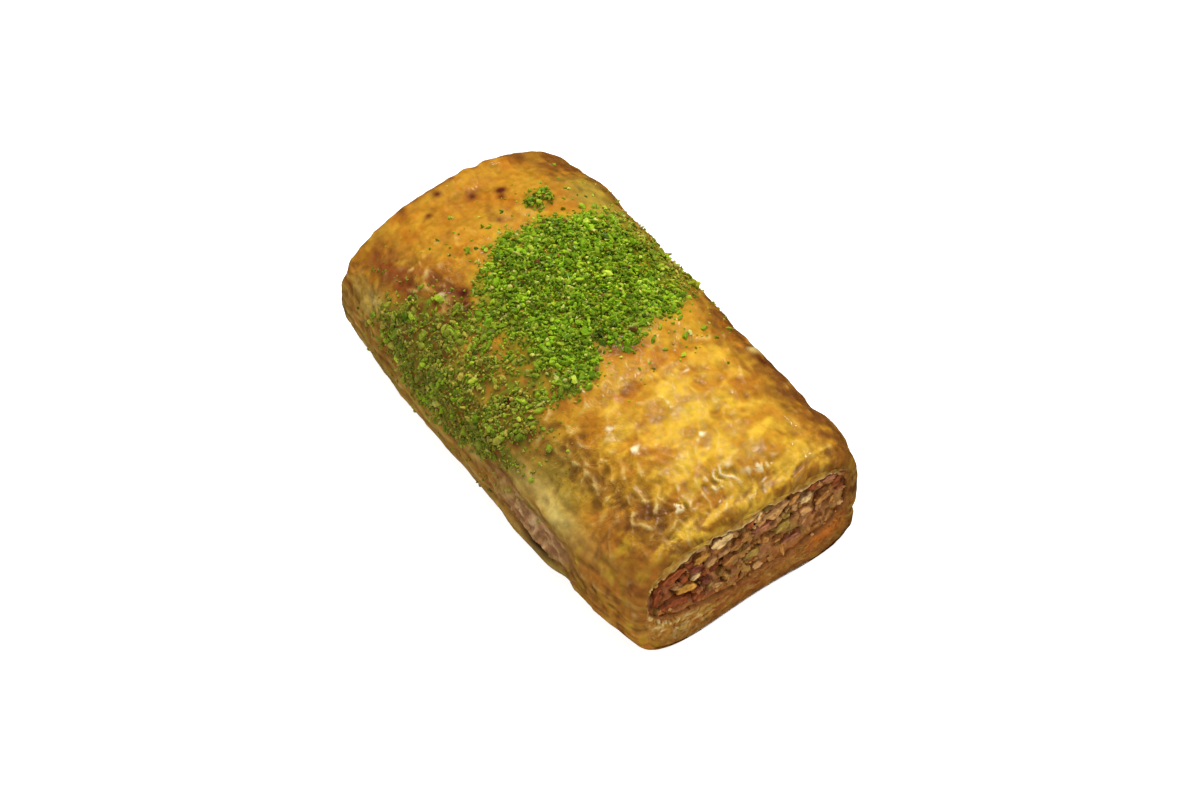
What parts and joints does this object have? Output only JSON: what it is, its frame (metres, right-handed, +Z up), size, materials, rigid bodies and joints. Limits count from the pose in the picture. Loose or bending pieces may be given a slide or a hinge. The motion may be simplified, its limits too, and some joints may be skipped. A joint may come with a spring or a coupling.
{
  "type": "baklava piece",
  "caption": "Cut piece of rolled baklava: a glazed, flattened filo roll round a chopped nut filling, with ground pistachio strewn across its top.",
  "frame": {"origin": "middle of the flat underside", "axes": "+Y along the roll, away from the cut end that the picture shows; +Z up out of the glazed top; -X is the side that the pistachio runs down"},
  "size_m": [0.0341, 0.0605, 0.0192],
  "materials": {
    "filo": "baked filo glazed with syrup",
    "walnut": "chopped nuts bound with syrup",
    "pistachio": "ground green pistachio, moist with syrup"
  },
  "bodies": {
    "root": {"pastry": "filo", "filling": "walnut"}
  },
  "joints": []
}
